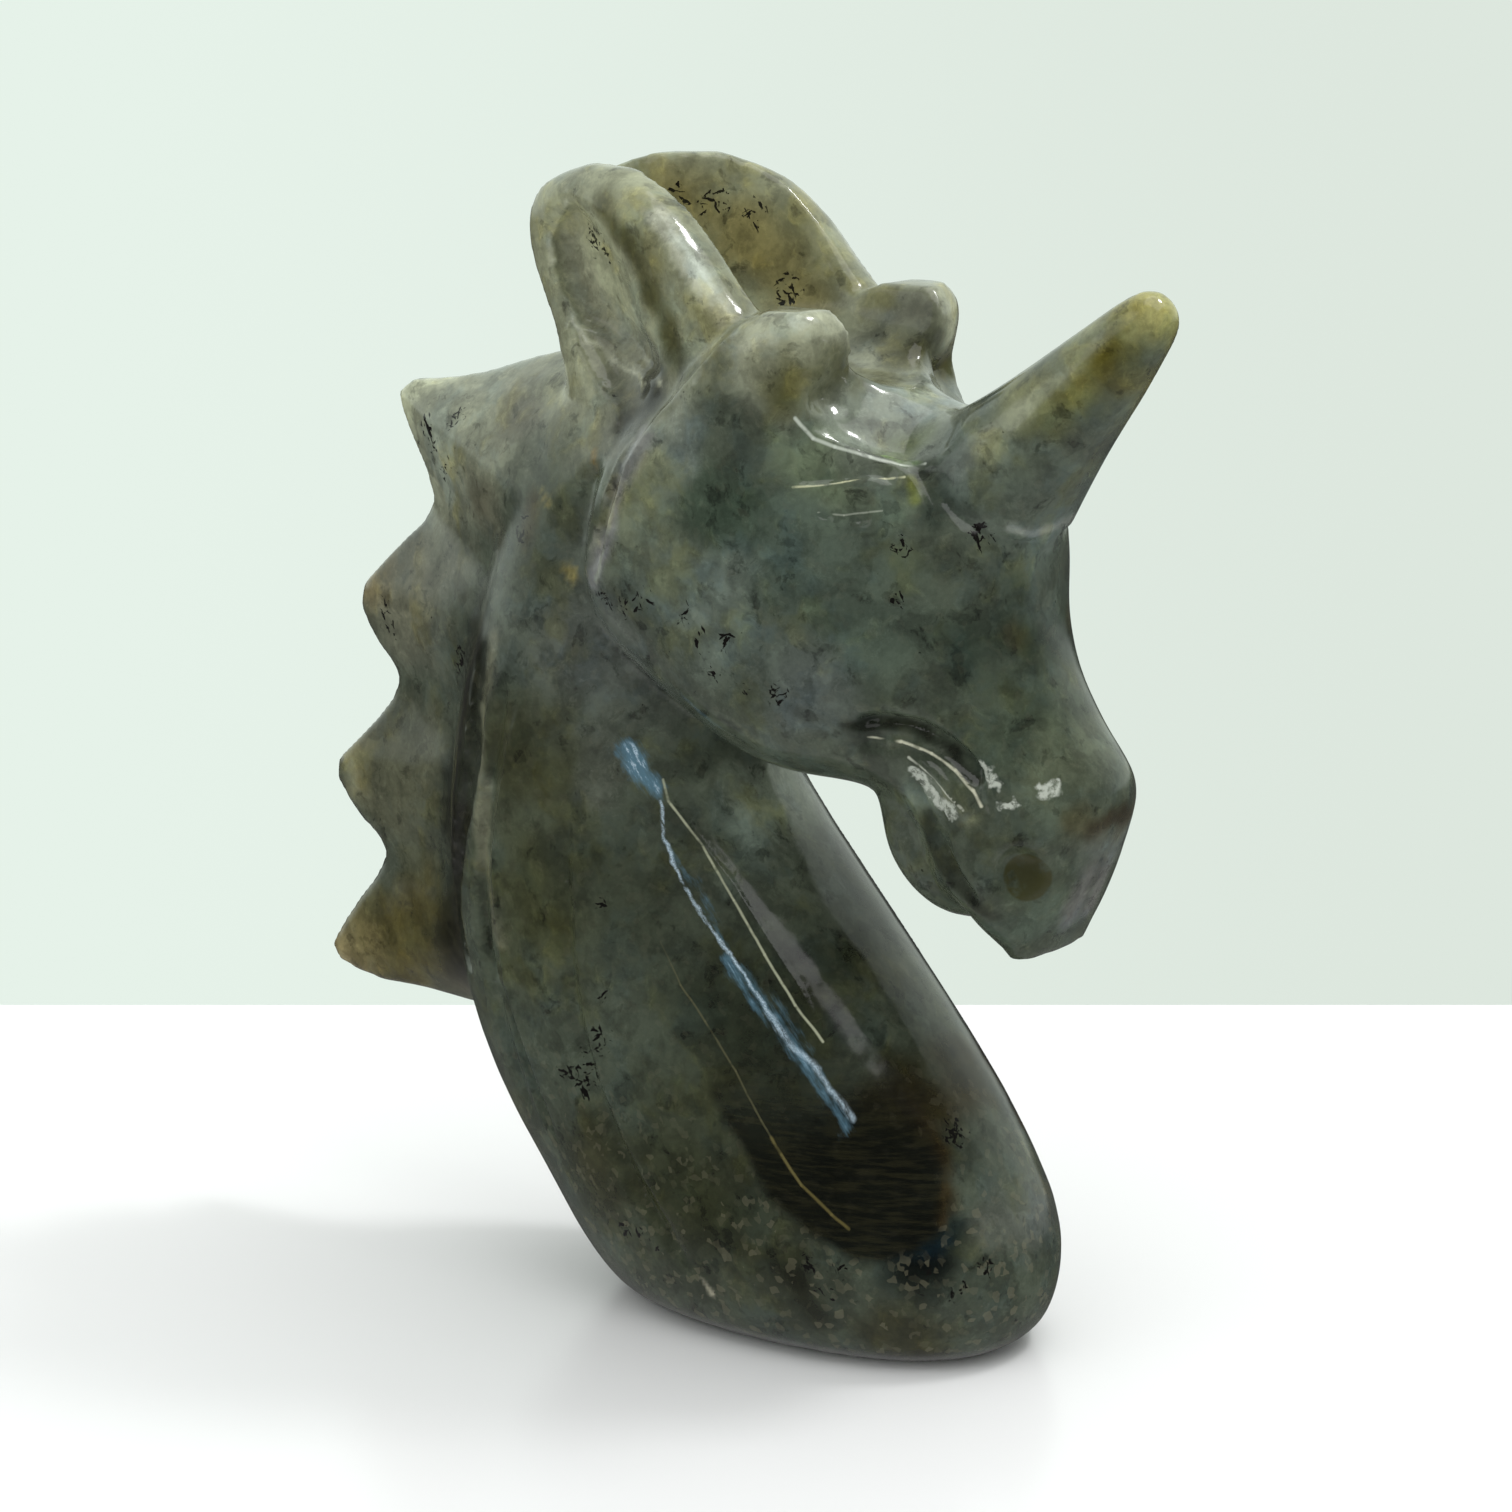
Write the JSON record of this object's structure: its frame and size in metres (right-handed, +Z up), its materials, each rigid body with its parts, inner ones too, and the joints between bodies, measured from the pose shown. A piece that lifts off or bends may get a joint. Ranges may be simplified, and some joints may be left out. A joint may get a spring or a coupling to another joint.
{
  "type": "stone unicorn head carving",
  "caption": "Free-standing polished stone carving of a unicorn's head and neck on a flat oval foot.",
  "frame": {"origin": "middle of the flat oval foot, on the surface that the carving stands on", "axes": "+Z up, +X the way the nose points, +Y to the animal's left"},
  "size_m": [0.0805, 0.0264, 0.0903],
  "materials": {
    "labradorite": "polished, mottled grey-green with dark inclusions and a blue flash"
  },
  "bodies": {
    "root": {"unicorn_carving": "labradorite"}
  },
  "joints": []
}
